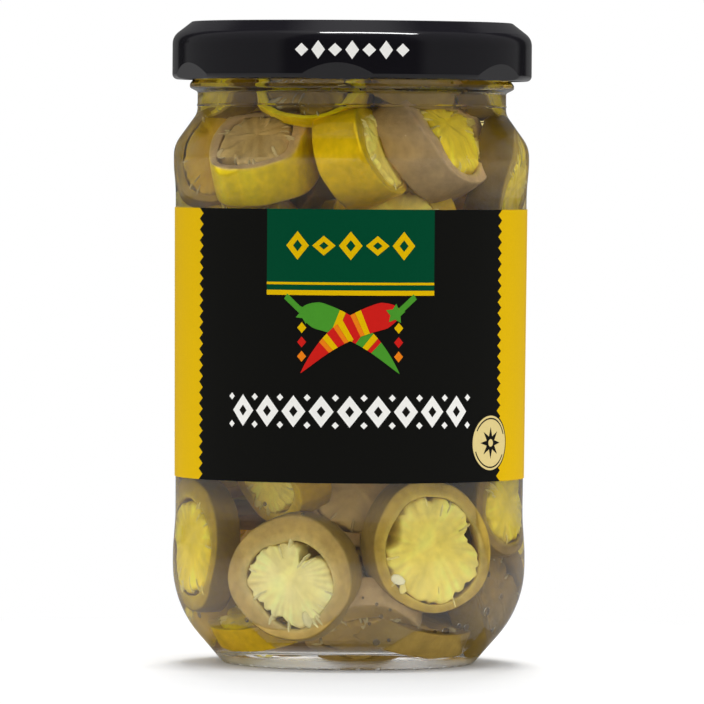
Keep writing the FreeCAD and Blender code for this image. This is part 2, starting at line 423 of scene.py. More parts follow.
def pepper_print(middle, lean, bend):
    """Printed pod: a function that gives its quads between two shares, and its stalk end."""
    c, s = cos(lean), sin(lean)
    round_end, blunt, taper = 0.14, 0.45, 0.9

    def at(share, across):
        slope = bend * pi * cos(pi * share)
        size = hypot(1, slope)
        half = across * POD_THICK / 2 * min(1.0, share / round_end) ** blunt * (1 - share ** 2.0) ** taper
        x = POD_LENGTH * (share - 0.5) - slope / size * half
        y = POD_LENGTH * bend * sin(pi * share) + half / size
        return c * x - s * y, middle + s * x + c * y

    def strip(first, last):
        turn_a, turn_b = acos(1 - 2 * first), acos(1 - 2 * last)
        count = max(2, int(abs(turn_b - turn_a) / 0.09))
        shares = [0.5 - 0.5 * cos(turn_a + (turn_b - turn_a) * k / count) for k in range(count + 1)]
        quads = []
        for before, after in zip(shares, shares[1:]):
            corners = [at(before, -1), at(after, -1), at(after, 1), at(before, 1)]
            quads.append([p for n, p in enumerate(corners) if dist(p, corners[n - 1]) > 1e-6])
        return quads
    return strip, at(0, 0)


def label_material():
    """Black print outside, bare white paper on the face glued to the glass."""
    made = print_material("label_black", srgb(20, 20, 18))
    tree = made.node_tree
    shader = tree.nodes["Principled BSDF"]
    black = shader.inputs["Base Color"].links[0].from_socket
    x, y, z = axes(tree)
    squares = [maths(tree, "MULTIPLY", side, side) for side in (x, y)]
    radius = maths(tree, "SQRT", maths(tree, "ADD", *squares))
    low, high = label_radius(LABEL_LOW[2]) * MM, label_radius(LABEL_HIGH[2]) * MM
    slope = (high - low) / (LABEL_H * MM)
    below = low - slope * LABEL_LOW[2] * MM - GLUE_FACE * MM
    face = maths(tree, "ADD", maths(tree, "MULTIPLY", z, slope), below)
    printed = maths(tree, "GREATER_THAN", radius, face)
    tree.links.new(mix(tree, printed, srgb(236, 234, 226), black), shader.inputs["Base Color"])
    return made


def pod_outlines(middle, lean, bend):
    """A pod's whole outline, its pairs of stripes, and its stalk and calyx."""
    turn = radians(lean)
    pod, (u, v) = pepper_print(middle, turn, bend)
    stripes = [(pod(at, at + 0.05), pod(at + 0.052, at + 0.09)) for at in STRIPES]
    back_u, back_v = u - STALK * cos(turn), v - STALK * sin(turn) + STALK_RISE
    side_u, side_v = -STALK_HALF * sin(turn), STALK_HALF * cos(turn)
    stalk = [(u - side_u, v - side_v), (u + side_u, v + side_v),
             (back_u + side_u, back_v + side_v), (back_u - side_u, back_v - side_v)]
    calyx = star_outline(u + cos(turn), v + sin(turn), 1.9, 1.0, 5, turn)
    return pod(0, 1), stripes, [stalk, calyx]


def make_label_print():
    """Every printed field of the label, as one object for each ink and level."""
    low, high = LABEL_LOW[2], LABEL_HIGH[2]
    radius = label_radius((low + high) / 2)
    ink = {}

    def lay(colour, level, outlines):
        ink.setdefault((colour, level), []).extend(outlines)

    arc = radius * pi / 180
    for side in (-1, 1):
        lay("yellow", 0, [band_outline(side, low, high, BAND_TURN * arc, 180 * arc - BAND_GAP)])
    foot = high - PLAQUE_H
    lay("green", 0, [box_outline(-PLAQUE_W / 2, foot, PLAQUE_W / 2, high)])
    for rule_low, rule_high in RULES:
        lay("yellow", 1, [box_outline(-PLAQUE_W / 2, foot + rule_low, PLAQUE_W / 2, foot + rule_high)])
    for i in range(-2, 3):
        outside, hole = PLAQUE_LOZENGES[i % 2]
        lay("yellow", 1, [lozenge(PLAQUE_PITCH * i, high - PLAQUE_ROW, *outside)])
        lay("green", 2, [lozenge(PLAQUE_PITCH * i, high - PLAQUE_ROW, *hole)])
    middle = low + 25.6
    for colour, thin_colour, lean, bend, level in PODS:
        whole, stripes, stalk = pod_outlines(middle, lean, bend)
        lay(colour, level, whole)
        for broad, thin in stripes:
            lay("yellow", level + 1, broad)
            lay(thin_colour, level + 1, thin)
        lay("leaf", level + 1, stalk)
    for side in (-1, 1):
        for k, colour in enumerate(("yellow", "red", "orange")):
            lay(colour, 1, [lozenge(side * 8.9, middle + 2.6 * (1 - k), 1.7, 2.0)])
    row = low + 13.0
    for i in range(-4, 5):
        lay("white", 1, [lozenge(FIGURE_PITCH * i, row, 4.6, 5.8)])
        lay("black", 2, [lozenge(FIGURE_PITCH * i, row, 1.6, 2.0)])
    for i in range(-5, 5):
        lay("white", 1, [lozenge(FIGURE_PITCH * (i + 0.5), row + out, 1.3, 1.3) for out in (2.5, -2.5)])
    u, v = (BAND_TURN - 3.5) * arc, low + 7.1
    lay("black", 1, ring_outlines(u, v, 0.0, 5.3))
    lay("gold", 2, ring_outlines(u, v, 0.0, 5.0))
    for start, end in ((200, 330), (20, 150)):
        lay("black", 3, ring_outlines(u, v, 4.35, 4.6, start, end))
    lay("black", 3, [star_outline(u, v, 2.9, 1.25, 8)])
    lay("gold", 4, [star_outline(u, v, 0.7, 0.7, 6)])
    looks = {name: print_material("ink_" + name, colour) for name, colour in INKS.items()}
    for (colour, level), outlines in ink.items():
        wrap(outlines, label_radius, INK_RISE * (level + 1), f"print_{colour}_{level}", looks[colour])


def make_lid_print():
    """Row of small white lozenges on the lid's skirt."""
    look = print_material("ink_lid", INKS["white"], 0.25)
    row = LID_HIGH[2] - 5.45
    shapes = [lozenge(3.1 * i, row, 2.5, 3.4 if i % 2 == 0 else 2.4) for i in range(-3, 4)]
    wrap(shapes, lambda height: LID_R, INK_RISE, "print_lid", look)


# ---- Pepper slices ----
# Colours of cut pepper after pickling, as sRGB, some holding painted light. A slice mixes a skin, a flesh and
# a core colour.
# The lilac skin and flesh are painted sheen: greyed, pale tones in place of the soft light the wet slices
# reflect.
SKINS = {"olive": (132, 104, 6), "mustard": (196, 158, 4), "yellow": (255, 222, 4), "amber": (236, 196, 4),
         "brown": (160, 132, 62), "lilac": (188, 160, 116)}
# The dim flesh and core are painted shade: darker tones where a slice lies in shade or its seed hollow looks
# dark.
FLESH = {"tan": (206, 174, 100), "gold": (222, 188, 34), "khaki": (200, 168, 70), "yellow": (255, 230, 20),
         "lilac": (208, 176, 132), "dim": (150, 120, 52), "moss": (184, 152, 34), "umber": (124, 98, 38)}
CORES = {"cream": (255, 244, 172), "lime": (250, 224, 60), "yellow": (255, 236, 124), "dim": (160, 130, 58),
         "pale": (204, 176, 122), "moss": (200, 166, 40), "umber": (132, 106, 44)}
SEED_COLOUR = np.array(srgb(255, 248, 205))

# Slices that lie against the glass where they show: azimuth of the middle from the front towards +X,
# distance from the axis and height; azimuth and elevation of the cut face; radius and thickness; colours.
# Where it isn't usual: the wall as a share of the radius, hollows beside the core and lobes of the edge, both
# as pairs of an angle in degrees from the slice's right and a depth or a rise.
USUAL_WALL = 0.3
SHOWN_SLICES = [
    # lower window
    (-75, 24.5, 23.0, -72, -4, 12.0, 5.5, "olive moss lime", 0.26, ((200, 0.25), (100, 0.15)), ()),
    (-34, 19.0, 36.0, -62, -24, 10.0, 6.5, "mustard gold yellow"),
    (-22, 24.5, 17.2, -20, -6, 12.0, 5.5, "brown tan cream", 0.31, ((52, 0.5), (262, 0.12)),
     ((62, 0.07), (200, 0.04))),
    (33, 24.6, 22.8, 27, -6, 12.8, 6.0, "brown khaki yellow", 0.19, ((12, 0.2), (168, 0.22)),
     ((120, 0.04),)),
    (77, 24.0, 30.0, 64, 10, 11.0, 6.0, "olive dim lime", 0.3, ((20, 0.3),), ()),
    (-50, 18.5, 9.5, -52, 52, 10.5, 5.0, "mustard gold lime"),
    (36, 16.0, 9.0, 50, 56, 11.5, 5.5, "brown dim dim"),
    (80, 21.0, 13.5, 72, 24, 11.5, 6.0, "olive umber umber", 0.32, ((30, 0.3),), ()),
    (-94, 20.5, 11.5, -100, 40, 10.0, 5.5, "mustard gold lime"),
    (8, 18.5, 10.0, 10, -52, 10.0, 5.5, "lilac dim dim"),
    (4, 15.5, 32.5, 8, 8, 11.5, 6.0, "lilac lilac pale"),
    # upper window
    (-46, 20.2, 92.0, -40, 64, 9.8, 8.2, "yellow lilac pale", 0.26, ((90, 0.2), (250, 0.3)), ()),
    (3, 21.0, 93.0, 72, 22, 8.8, 9.0, "amber gold yellow"),
    (42, 19.5, 96.0, 66, 30, 11.0, 8.5, "lilac lilac lime", 0.3, ((180, 0.2),), ()),
    (22, 20.0, 80.5, 14, 30, 11.5, 6.0, "mustard gold yellow"),
    (-22, 16.5, 105.6, -14, 30, 9.4, 4.5, "yellow yellow dim", 0.2, ((0, 0.4), (120, 0.4), (240, 0.4)),
     ()),
    (-80, 20.5, 93.0, -30, 16, 9.5, 6.0, "mustard moss moss"),
    (-54, 21.0, 79.5, -50, 34, 10.0, 6.0, "mustard gold lime"),
    (84, 21.8, 90.0, 92, -16, 10.5, 7.0, "olive khaki lime"),
    # round the neck
    (-88, 17.5, 104.0, -80, 26, 8.8, 5.0, "olive khaki lime"),
    (88, 17.5, 104.0, 98, 30, 8.8, 5.5, "olive khaki lime"),
    (34, 16.5, 107.0, 40, 66, 9.0, 5.0, "brown khaki lime"),
    (150, 16.0, 105.0, 150, 40, 9.2, 5.0, "mustard gold lime"),
    (-150, 16.0, 104.5, -150, 30, 9.2, 5.0, "brown khaki yellow"),
]
FREE_SLICES = 74
FREE_LOOKS = ["olive khaki lime", "brown tan cream", "mustard gold yellow", "brown lilac yellow",
              "yellow gold lime", "lilac tan yellow"]
SHOWN_THICK_AT = 95.0  # where a shown slice's wall is thickest, in degrees from its right
GOLDEN_TURN = 137.5  # from each free slice to the next, in degrees
FREE_MARGIN, FREE_OUT = 8, 20.0  # of the free slices' starts, from the brine's ends and the axis
ROUNDS = 240
HOLD = 0.5  # how firmly the shown slices are drawn home
PUSH = 0.6  # share of an overlap that is undone in a round
TOO_DEEP = 1.3  # a free slice that still cuts this far into another is left out
SHOWN_STEPS, FREE_STEPS = 72, 40  # points round a slice
SHOWN_SEEDS, FREE_SEEDS = (26, 36), (10, 18)  # fewest of a slice, and one more than the most
ROUGH_TURN = 6.28  # range of the random angles
# Profile of the wall: share across it from skin to hollow, share of the half thickness, and colour: 0 for
# skin, 1 for flesh, and above that towards the core's
WALL_SIDE = [(0.08, 0.99, 0.75), (0.03, 0.94, 0.2), (0.006, 0.84, 0.0), (-0.012, 0.45, 0.0),
             (-0.02, 0.0, 0.0)]
WALL_FACE = [(0.99, 0.86, 1.6), (0.95, 0.97, 1.6), (0.82, 1.0, 1.3), (0.55, 0.98, 1.0), (0.25, 0.98, 0.9)]
WALL_HOLLOW = [(1.03, -0.45, 1.3), (1.05, 0.0, 1.3), (1.03, 0.45, 1.3)]
# Profile of the core's upper half: share of its radius and of the half thickness
CORE_RINGS = [(1.0, -0.35), (1.0, 0.3), (0.985, 0.75), (0.95, 0.95), (0.9, 1.02), (0.8, 1.04), (0.66, 1.02),
              (0.5, 0.98), (0.3, 0.96), (0.15, 0.95)]
CORE_WARM = np.array((1.0, 0.93, 0.45))  # the core's colour in its warmer patches
RIB_HALF, RIB_GRIP = 0.16, 0.4  # half angle of a rib, and how far it goes into the wall
RAGGED = 0.13  # deepest tear of the core's edge, as a share
SEED_ROWS, SEED_COLUMNS = 5, 9
SEED_WIDE, SEED_FLAT = 0.7, 0.2  # a seed's half width and half thickness to its half length
SEED_TIP = 0.28
FLAT_SEEDS = 0.06  # share of the seeds that lie flat on the cut face
SEED_TONE, CORE_TONE = 0.3, 0.7  # how a seed on a slice mixes its colours
# Seeds that came loose, at the glass: azimuth, height and spin
LOOSE_SEEDS = [(17, 17.0, 0.4), (120, 14.0, 0.2), (-130, 18.0, 0.9), (170, 96.0, 0.4)]
LOOSE_SIZE, LOOSE_IN = 1.3, 0.9
# Air bubbles at the glass: azimuth, height and radius
BUBBLES = [(-4, 5.4, 0.6), (3, 5.2, 0.35), (12, 5.6, 0.5), (17, 6.2, 0.3), (22, 6.0, 0.6), (27, 6.8, 0.45),
           (31, 6.4, 0.55), (36, 7.4, 0.35), (42, 7.2, 0.6), (47, 8.4, 0.4), (52, 8.0, 0.5),
           (60, 10.4, 0.6), (66, 13.0, 0.4), (55, 17.0, 0.4), (-30, 7.4, 0.4), (-41, 9.2, 0.35),
           (8, 9.0, 0.25), (12, 10.2, 0.3), (10, 12.4, 0.25), (15, 11.4, 0.25), (5, 13.6, 0.2),
           (-70, 9.6, 0.45), (-16, 28.4, 0.25), (-30, 30.0, 0.3), (100, 8.0, 0.5), (140, 9.0, 0.4),
           (-120, 8.2, 0.5), (-160, 7.0, 0.35)]
BUBBLE_ROWS, BUBBLE_COLUMNS = 7, 12
BUBBLE_SCALE = 1.3
BUBBLE_FLAT = 0.75  # thickness of a bubble against the glass, as a share of its width


def direction(azimuth, elevation=0.0):
    """Unit vector; azimuth in degrees from the front (-Y) towards +X, elevation upwards."""
    a, e = radians(azimuth), radians(elevation)
    return np.array((sin(a) * cos(e), -cos(a) * cos(e), sin(e)))


def facing(normal, spin):
    """Rotation matrix whose third column is the normal, turned by spin about it."""
    side = np.cross(UP, normal)
    if np.linalg.norm(side) < 1e-3:
        side = np.array((1.0, 0.0, 0.0))
    side /= np.linalg.norm(side)
    up = np.cross(normal, side)
    c, s = cos(spin), sin(spin)
    return np.column_stack((c * side + s * up, c * up - s * side, normal))


def tints(look):
    """The three colours of a slice, linear, from their names."""
    skin, flesh, core = look.split()
    rows = {"skin": SKINS[skin], "flesh": FLESH[flesh], "core": CORES[core]}
    return {part: np.array(srgb(*rgb)) for part, rgb in rows.items()}


def any_angle(rng, count=None):
    """A random angle or, with a count, several."""
    return rng.uniform(0, ROUGH_TURN, count)


def list_slices(rng):
    """Every slice of the jar, the shown ones first and held near their places."""
    slices = []
    for row in SHOWN_SLICES:
        turn, out, height, face_turn, face_up, radius, thickness, look, *marks = row
        wall, hollows, lobes = marks or (USUAL_WALL, (), ())
        place = direction(turn) * out
        place[2] = height
        slices.append(dict(place=place, turn=facing(direction(face_turn, face_up), 0.0), radius=radius,
                           thickness=thickness, **tints(look), wall=wall, thick_at=SHOWN_THICK_AT,
                           hollows=hollows, lobes=lobes, held=True))
    for i in range(FREE_SLICES):
        room = BRINE_HIGH[2] - BRINE_LOW[2] - 2 * FREE_MARGIN
        height = BRINE_LOW[2] + FREE_MARGIN + room * (i + 0.5) / FREE_SLICES
        azimuth = i * GOLDEN_TURN + rng.uniform(-20, 20)
        out = FREE_OUT * sqrt(rng.uniform(0.02, 1))
        place = direction(azimuth) * out
        place[2] = height
        look = FREE_LOOKS[rng.integers(len(FREE_LOOKS))]
        normal = direction(rng.uniform(0, 360), rng.uniform(-75, 75))
        one = dict(place=place, turn=facing(normal, any_angle(rng)), radius=rng.uniform(9.2, 12.4),
                   thickness=rng.uniform(4.8, 7.0), **tints(look),
                   wall=rng.uniform(0.25, 0.33), thick_at=rng.uniform(0, 360), held=False)
        hollows = range(rng.integers(1, 4))
        one["hollows"] = [(rng.uniform(0, 360), rng.uniform(0.1, 0.5)) for _ in hollows]
        one["lobes"] = [(rng.uniform(0, 360), rng.uniform(0.02, 0.07))]
        slices.append(one)
    return slices


def push_inside(balls, sizes, outline):
    """Moves balls that reach through the hollow's outline back inside it."""
    radius = np.hypot(balls[:, 0], balls[:, 1])
    point = np.column_stack((radius, balls[:, 2]))
    start, step = outline[:-1], np.diff(outline, axis=0)
    length = np.maximum((step ** 2).sum(axis=1), 1e-9)
    share = np.clip(((point[:, None] - start) * step).sum(axis=2) / length, 0, 1)
    foot = start + share[:, :, None] * step
    away = point[:, None] - foot
    distance = np.sqrt((away ** 2).sum(axis=2))
    nearest = distance.argmin(axis=1)
    rows = np.arange(len(balls))
    inward = np.column_stack((-step[nearest, 1], step[nearest, 0]))
    inward /= np.linalg.norm(inward, axis=1)[:, None]
    depth = (away[rows, nearest] * inward).sum(axis=1)
    short = np.maximum(sizes - depth, 0)
    moved = point + inward * short[:, None]
    factor = moved[:, 0] / np.maximum(radius, 1e-6)
    balls[:, 0] *= factor
    balls[:, 1] *= factor
    balls[:, 2] = moved[:, 1]


def disc_offsets(radius, thickness):
    """Middles of the balls that stand for a slice: one in the middle, two rings round it."""
    reach = radius - thickness / 2
    points = [(0.0, 0.0, 0.0)]
    for share, count in ((0.5, 6), (1.0, 10)):
        points += [(share * reach * cos(TAU * (k + share) / count),
                    share * reach * sin(TAU * (k + share) / count), 0.0) for k in range(count)]
    return points


def settle(slices, outline):
    """Packs the slices as discs of balls: overlaps are pushed apart, the shown slices are drawn home."""
    offsets = np.array([disc_offsets(one["radius"], one["thickness"]) for one in slices])
    offsets -= offsets.mean(axis=1)[:, None]
    count, each = offsets.shape[:2]
    sizes = np.repeat([one["thickness"] / 2 for one in slices], each)
    owner = np.repeat(np.arange(count), each)
    place = np.array([one["place"] for one in slices])
    turn = np.array([one["turn"] for one in slices])
    home_place, home_turn = place.copy(), turn.copy()
    held = np.array([one["held"] for one in slices])
    reach = (sizes[:, None] + sizes[None, :]) ** 2
    reach[owner[:, None] == owner[None, :]] = -1
    for _ in range(ROUNDS):
        place[held] += HOLD * (home_place[held] - place[held])
        left, _, right = np.linalg.svd((1 - HOLD) * turn[held] + HOLD * home_turn[held])
        turn[held] = left @ right
        balls = (place[:, None] + np.einsum("nij,nkj->nki", turn, offsets)).reshape(-1, 3)
        square = (balls ** 2).sum(axis=1)
        one, other = np.nonzero(square[:, None] + square[None, :] - 2 * balls @ balls.T < reach)
        gap = balls[one] - balls[other]
        distance = np.sqrt((gap ** 2).sum(axis=1)) + 1e-9
        overlap = sizes[one] + sizes[other] - distance
        push = gap * (overlap / distance)[:, None]
        touching = np.maximum(np.bincount(one, minlength=len(balls)), 1)
        for axis in range(3):
            balls[:, axis] += PUSH * np.bincount(one, push[:, axis], len(balls)) / touching
        push_inside(balls, sizes, outline)
        groups = balls.reshape(count, each, 3)
        place = groups.mean(axis=1)
        spread = np.einsum("nki,nkj->nij", groups - place[:, None], offsets)
        spread += 1e-3 * turn
        left, _, right = np.linalg.svd(spread)
        flip = np.ones((count, 3))
        flip[:, 2] = np.linalg.det(left @ right)
        turn = left * flip[:, None, :] @ right
    deep = (overlap > TOO_DEEP) & ~held[owner[one]]
    left_out = set(owner[one[deep]][owner[one[deep]] > owner[other[deep]]])
    print(f"slices settled, {len(left_out)} left out of {count}, deepest overlap {overlap.max():.2f} mm")
    return [dict(row, place=place[i], turn=turn[i]) for i, row in enumerate(slices) if i not in left_out]


def bump_at(t, angle, width):
    """Soft bump of height one round an angle in degrees."""
    away = (t - radians(angle) + pi) % (2 * pi) - pi
    return np.exp(-(away / width) ** 2)


def slice_outline(rng, one):
    """Outer radius of a slice round its edge: oval, with three or four soft lobes."""
    steps = SHOWN_STEPS if one["held"] else FREE_STEPS
    t = turns_round(steps)
    shape = 1 + rng.uniform(0.01, 0.05) * np.cos(2 * t + any_angle(rng))
    shape += rng.uniform(0.01, 0.03) * np.cos(rng.integers(3, 5) * t + any_angle(rng))
    shape += 0.007 * np.cos(7 * t + any_angle(rng))
    for angle, rise in one["lobes"]:
        shape += rise * bump_at(t, angle, 0.5)
    return t, one["radius"] * shape / shape.max()


def bent(rng, radius):
    """Function that bends a slice out of its plane a little, as soft slices are."""
    a, b, c = rng.uniform(-0.5, 0.5, 3)
    waves, phase = rng.integers(2, 5), any_angle(rng)

    def lift(x, y):
        u, v = x / radius, y / radius
        turn = np.arctan2(v, u)
        return a * (u * u - v * v) + b * u * v + 0.25 * c * (u * u + v * v) * np.cos(waves * turn + phase)
    return lift


def patchy(rng, x, y):
    """Slow change of tone over a slice, round one."""
    a, b, c, d = any_angle(rng, 4)
    broad = np.sin(0.55 * x + a) * np.sin(0.5 * y + b)
    fine = np.sin(1.1 * x - 0.7 * y + c + 0.8 * np.sin(y + d))
    return 1 + 0.07 * broad + 0.05 * fine


def wall_mesh(rng, one, t, outer, lift):
    """Ring of pepper wall: skin outside, cut flesh on both faces, seed hollow inside."""
    half = one["thickness"] / 2
    wall = one["radius"] * one["wall"]
    thick_side = radians(one["thick_at"])
    uneven = 0.3 * np.cos(t - thick_side) + 0.1 * np.cos(2 * t + any_angle(rng))
    inner = outer - wall * (1 + uneven + 0.08 * np.cos(3 * t + any_angle(rng)))
    lower = [(across, -up, tone) for across, up, tone in (WALL_FACE + WALL_SIDE[:-1])[::-1]]
    profile = WALL_FACE + WALL_SIDE + lower + WALL_HOLLOW
    points, tones = [], []
    for across, up, tone in profile:
        r = outer + (inner - outer) * across
        x, y = r * np.cos(t), r * np.sin(t)
        rough = 0.05 * np.sin(9 * t + 20 * across) + rng.normal(0, 0.015, len(t))
        z = half * up + lift(x, y) + (rough if abs(up) > 0.9 else 0)
        points.append(np.column_stack((x, y, z)))
        tones.append(np.full(len(t), tone))
    tone = np.concatenate(tones)
    points = np.concatenate(points)
    share = np.clip(tone, 0, 1)[:, None]
    colours = one["skin"] * (1 - share) + one["flesh"] * share
    colours += (one["core"] - colours) * (0.4 * np.clip((tone - 1) / 0.6, 0, 1))[:, None]
    colours *= patchy(rng, points[:, 0], points[:, 1])[:, None]
    faces = grid_faces(len(profile), len(t), close_rows=True, flip=True)
    return points, faces, colours, inner


def core_mesh(rng, one, t, inner, lift):
    """Pith in the middle of a slice, joined to the wall at two to four ribs, its edge ragged."""
    half = one["thickness"] / 2
    ribs = rng.integers(2, 5)
    rib_turn = any_angle(rng)
    half_pitch = pi / ribs
    from_rib = np.abs((t - rib_turn + half_pitch) % (TAU / ribs) - half_pitch)
    near_rib = np.clip(1 - from_rib / RIB_HALF, 0, 1)
    soft = 1.03 + 0.03 * np.sin(5 * t + any_angle(rng))
    for angle, depth in one["hollows"]:
        soft -= depth * bump_at(t, angle, 0.30)
    open_side = np.clip(soft.max() - soft, 0, 0.1) * 10
    near_rib *= 1 - open_side
    soft = inner * soft * (1 - near_rib) + (inner + RIB_GRIP) * near_rib
    ragged = -inner * (1 - near_rib) * RAGGED * rng.uniform(0, 1, len(t)) ** 1.5
    rings = [(share, -up) for share, up in CORE_RINGS[:1:-1]] + CORE_RINGS
    points, mixes, streaks = [], [], []
    pits = any_angle(rng, 5)
    fibres = rng.uniform(-1, 1, len(t))
    for share, up in rings:
        r = soft * share + ragged * share ** 6
        x, y = r * np.cos(t), r * np.sin(t)
        bumps = 0.22 * np.sin(1.2 * x + pits[0]) * np.sin(1.0 * y + pits[1])
        bumps += 0.12 * np.sin(2.6 * x + 1.7 * y + pits[2])
        bumps += 0.1 * np.sin(2.9 * y - 1.4 * x + pits[3])
        points.append(np.column_stack((x, y, half * up + lift(x, y) + np.sign(up) * bumps)))
        mixes.append(near_rib * np.clip((share - 0.5) / 0.4, 0, 1))
        streaks.append(fibres * np.clip((share - 0.4) / 0.4, 0, 1))
    faces = closed_faces(len(rings), len(t))
    pole = 0.95 * half
    points = np.vstack((np.concatenate(points), (0, 0, -pole), (0, 0, pole)))
    rib = 0.7 * np.append(np.concatenate(mixes), (0, 0))[:, None]
    streak = np.append(np.concatenate(streaks), (0, 0))
    x, y = points[:, 0], points[:, 1]
    warm = (0.5 + 0.5 * np.sin(0.9 * x + pits[4]) * np.sin(0.8 * y + pits[0]))[:, None]
    base = one["core"] * (1 - 0.3 * warm) + one["core"] * CORE_WARM * 0.3 * warm
    colours = base * (1 - rib) + one["flesh"] * rib
    colours *= (patchy(rng, x, y) * (1 + 0.14 * streak))[:, None]
    return points, faces, colours, soft + ragged


def seed_mesh(middle, radial, up, size):
    """Flat drop-shaped seed: its flat side holds the radial and up directions, its tip points inwards."""
    across = np.cross(radial, up)
    points = []
    for latitude in latitudes(SEED_ROWS):
        width = cos(latitude)
        w = SEED_FLAT * size * sin(latitude)
        for turn in turns_round(SEED_COLUMNS):
            tip = 1 + SEED_TIP * max(0.0, -cos(turn)) ** 3
            u = size * tip * width * cos(turn)
            v = SEED_WIDE * size * width * sin(turn)
            points.append(middle + radial * u + up * v + across * w)
    points += [middle - across * SEED_FLAT * size, middle + across * SEED_FLAT * size]
    return np.array(points), closed_faces(SEED_ROWS, SEED_COLUMNS)


def slice_seeds(rng, one, t, edge, lift):
    """Seeds round the pith of a slice: most stand on edge, a few lie flat."""
    made = []
    for _ in range(rng.integers(*(SHOWN_SEEDS if one["held"] else FREE_SEEDS))):
        k = rng.integers(len(t))
        turn = t[k] + rng.normal(0, 0.03)
        radial = np.array((cos(turn), sin(turn), rng.normal(0, 0.25)))
        radial /= np.linalg.norm(radial)
        face, size, flat = rng.choice((-1, 1)), rng.uniform(1.0, 1.6), rng.uniform() < FLAT_SEEDS
        up = np.array((-radial[1], radial[0], 0)) if flat else UP.copy()
        up += rng.normal(0, 0.25, 3)
        up -= radial * (up @ radial)
        up /= np.linalg.norm(up)
        middle = radial * (edge[k] - rng.uniform(-0.6, 1.2))
        middle[2] = face * (one["thickness"] * 0.5 - (0.1 if flat else 0.4) * size)
        middle[2] += lift(middle[0], middle[1])
        made.append(seed_mesh(middle, radial, up, size))
    return made


def join(name, meshes, look):
    """One object of many meshes, each given as its points, faces and colours."""
    faces, count = [], 0
    for points, own_faces, _ in meshes:
        faces += [tuple(i + count for i in face) for face in own_faces]
        count += len(points)
    made = new_object(name, np.concatenate([points for points, _, _ in meshes]), faces)
    give_colours(made, np.clip(np.concatenate([colours for _, _, colours in meshes]), 0, 1))
    made.data.materials.append(look)
    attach(made, "root")


def hollow_radius(outline, height):
    """Radius of the brine at a height."""
    side = outline[1:-1]
    return float(np.interp(height, side[:, 1], side[:, 0]))


def make_bubbles(outline):
    """Small air bubbles that cling to the glass, most of them near the base."""
    points, faces, count = [], [], 0
    turns = turns_round(BUBBLE_COLUMNS)
    for azimuth, height, size in BUBBLES:
        out = direction(azimuth)
        across = np.cross(out, UP)
        size *= BUBBLE_SCALE
        middle = out * (hollow_radius(outline, height) - BUBBLE_FLAT * size) + UP * (height + size)
        ring = np.outer(np.cos(turns) * BUBBLE_FLAT, out) + np.outer(np.sin(turns), across)
        for latitude in latitudes(BUBBLE_ROWS):
            points.append(middle + size * (ring * cos(latitude) + UP * sin(latitude)))
        points.append([middle - UP * size, middle + UP * size])
        faces += closed_faces(BUBBLE_ROWS, BUBBLE_COLUMNS, count)
        count += BUBBLE_ROWS * BUBBLE_COLUMNS + 2
    made = new_object("bubbles", np.concatenate(points), faces)
    # Painted shade: the bubbles' grey-brown tint darkens the clear air, as bubbles in brine look dark at
    # their rims.
    look, _, _ = material("air_bubble", (0.5, 0.46, 0.4), 0.0, IOR=0.75, Transmission_Weight=1.0)
    made.data.materials.append(look)
    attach(made, "root")


def moved(one, points):
    """Points of a slice where it lies in the jar."""
    return points @ one["turn"].T + one["place"]


def make_peppers(outline):
    """All slices with their cores and seeds, as three objects."""
    rng = np.random.default_rng(SEED)
    walls, cores, seeds = [], [], []
    for one in settle(list_slices(rng), outline):
        t, outer = slice_outline(rng, one)
        lift = bent(rng, one["radius"])
        points, faces, colours, inner = wall_mesh(rng, one, t, outer, lift)
        walls.append((moved(one, points), faces, colours))
        points, faces, colours, edge = core_mesh(rng, one, t, inner, lift)
        cores.append((moved(one, points), faces, colours))
        tone = SEED_TONE * SEED_COLOUR + CORE_TONE * one["core"]
        for points, faces in slice_seeds(rng, one, t, edge, lift):
            shade = rng.uniform(0.75, 1.0)
            seeds.append((moved(one, points), faces, np.tile(tone * shade, (len(points), 1))))
    for azimuth, height, spin in LOOSE_SEEDS:
        out = direction(azimuth)
        middle = out * (hollow_radius(outline, height) - LOOSE_IN)
        middle[2] = height
        along = np.cross(out, UP) * cos(spin) + UP * sin(spin)
        points, faces = seed_mesh(middle, along, np.cross(out, along), LOOSE_SIZE)
        seeds.append((points, faces, np.tile(SEED_COLOUR, (len(points), 1))))
    join("pepper_walls", walls, pepper_material("pepper_flesh", 0.35, 0.2, 0.1))
    join("pepper_cores", cores, pepper_material("pepper_core", 0.5, 0.12, 0.0))
    join("pepper_seeds", seeds, pepper_material("pepper_seed", 0.4, 0.1, 0.0))


# ---- Stage ----
FLOOR_HALF = 4000.0
# Brightness of the studio at eye level, by azimuth from the front, in degrees
STUDIO_SIDES = [(42, 0.10), (50, 0.62), (132, 0.72), (138, 0.12), (147, 0.12), (152, 0.6)]
# Whiteness of the paper by distance in metres: the sheet ends, the room beyond is dim
PAPER = [(0.16, 0.32), (0.42, 0.06), (1.0, 0.05)]
# The same as reflections show it, through glass, and as light through glass onto something matt
PAPER_GLOSSY, PAPER_THROUGH, PAPER_LIGHT = 0.12, 0.3, 0.65
# Where the paper is plain white to the camera, and where it gives off painted light to rays through the glass
# of the base, in place of the shadow under the foot
PAPER_WHITE = [(0.05, 0.0), (0.14, 1.0)]
PAPER_UNDER = [(0.05, 0.8), (0.12, 0.2)]
PAPER_SEEN = 0.49  # whiteness of the lit paper next to the object
# Share of the overhead light by elevation in degrees, and as reflections show it
STUDIO_RISE = [(14, 0.0), (27, 1.0), (58, 1.0), (68, 0.5)]
STUDIO_GLINT = [(62, 0.0), (78, 1.0)]
STUDIO_TOP = 1.95
